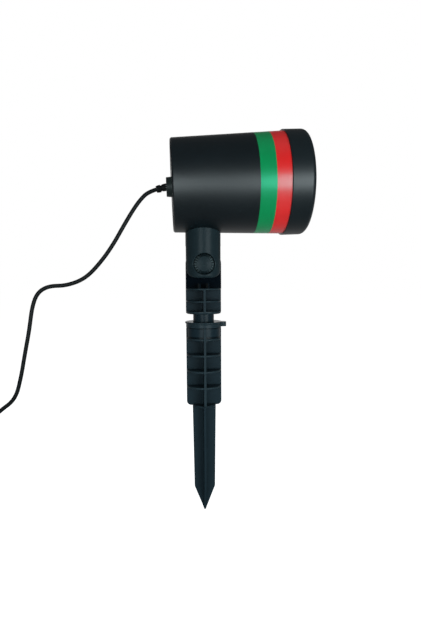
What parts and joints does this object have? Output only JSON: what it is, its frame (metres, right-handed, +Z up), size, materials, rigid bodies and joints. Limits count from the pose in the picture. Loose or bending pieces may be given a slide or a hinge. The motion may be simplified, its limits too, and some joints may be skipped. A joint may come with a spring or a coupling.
{
  "type": "laser show projector",
  "caption": "Garden laser light: conical lamp head with coloured bands, tilting on a ribbed ground stake with a spike, with a low-voltage lead and plug-in adapter.",
  "frame": {"origin": "tip of the spike, on the stake's axis", "axes": "+Z up the stake, +X the way the light goes, +Y across the head along the tilt axis"},
  "size_m": [0.4717, 0.119, 0.3838],
  "materials": {
    "stake_plastic": "satin moulded black plastic",
    "neck_plastic": "satin moulded black plastic",
    "housing_plastic": "fine grained black plastic with a soft sheen",
    "bezel_plastic": "smooth black plastic with a soft sheen",
    "green_enamel": "glossy green paint",
    "red_enamel": "glossy red paint",
    "clear_glass": "clear, flat",
    "grating_film": "clear film with a fine ruled surface",
    "sensor_lens": "tinted, clear",
    "inner_plastic": "plain black moulding",
    "seal_rubber": "soft black rubber",
    "gland_plastic": "moulded black plastic",
    "button_plastic": "moulded black plastic",
    "plain_steel": "zinc plated",
    "carrier_metal": "bare machined metal",
    "module_brass": "turned, plain",
    "sensor_body": "moulded and ferrite grey",
    "board_laminate": "solder masked laminate",
    "lead_sheath": "smooth black flexible sheath",
    "tie_plastic": "black flexible band",
    "adapter_plastic": "moulded black plastic",
    "core_iron": "stacked core with a wound middle"
  },
  "bodies": {
    "ground_stake": {"ground_stake": "stake_plastic"},
    "lock_ring": {"lock_ring": "stake_plastic"},
    "stake_head": {"stake_head": "stake_plastic", "friction_washers": "seal_rubber", "power_cord": "lead_sheath", "cord_coil": "lead_sheath", "cord_tie": "tie_plastic", "adapter_relief": "adapter_plastic", "adapter_case": "adapter_plastic", "adapter_cover": "adapter_plastic", "adapter_blades": "module_brass", "adapter_board": "board_laminate", "adapter_transformer": "core_iron"},
    "clamp_knob": {"clamp_knob": "neck_plastic", "knob_nut": "plain_steel"},
    "power_button": {"power_button": "button_plastic"},
    "head": {"neck_fork": "neck_plastic", "neck_screws": "plain_steel", "pivot_bolt": "plain_steel", "housing_shell": "housing_plastic", "green_band": "green_enamel", "red_band": "red_enamel", "front_bezel": "bezel_plastic", "window_seal": "seal_rubber", "window_glass": "clear_glass", "baffle_plate": "inner_plastic", "green_grating": "grating_film", "red_grating": "grating_film", "grating_rings": "inner_plastic", "laser_carrier": "carrier_metal", "carrier_screws": "plain_steel", "green_laser": "module_brass", "red_laser": "module_brass", "grub_screws": "plain_steel", "module_leads": "lead_sheath", "driver_board": "board_laminate", "board_screws": "plain_steel", "capacitors": "carrier_metal", "inductor": "sensor_body", "connectors": "inner_plastic", "power_switch": "inner_plastic", "light_sensor": "sensor_body", "rear_cover": "housing_plastic", "cover_screws": "plain_steel", "sensor_window": "sensor_lens", "cable_gland": "gland_plastic", "gland_nut": "gland_plastic", "strain_relief": "seal_rubber", "supply_lead": "lead_sheath"}
  },
  "joints": [
    {"name": "stake_swivel", "type": "hinge", "parent": "ground_stake", "child": "stake_head", "pos_m": [0, 0, 0.19], "axis": [0, 0, 1], "range_deg": [-170, 170]},
    {"name": "lock_ring_turn", "type": "hinge", "parent": "ground_stake", "child": "lock_ring", "pos_m": [0, 0, 0.19], "axis": [0, 0, 1], "range_deg": [0, 45]},
    {"name": "head_tilt", "type": "hinge", "parent": "stake_head", "child": "head", "pos_m": [0, 0, 0.25275], "axis": [0, -1, 0], "range_deg": [-45, 60], "deforming": ["power_cord"]},
    {"name": "knob_turn", "type": "hinge", "parent": "head", "child": "clamp_knob", "pos_m": [0, -0.015, 0.25275], "axis": [0, -1, 0], "range_deg": [0, 360]},
    {"name": "button_press", "type": "slide", "parent": "head", "child": "power_button", "axis": [0.9994, 0, 0.034], "range_m": [0, 0.0012], "stiffness_N_per_m": 400}
  ]
}
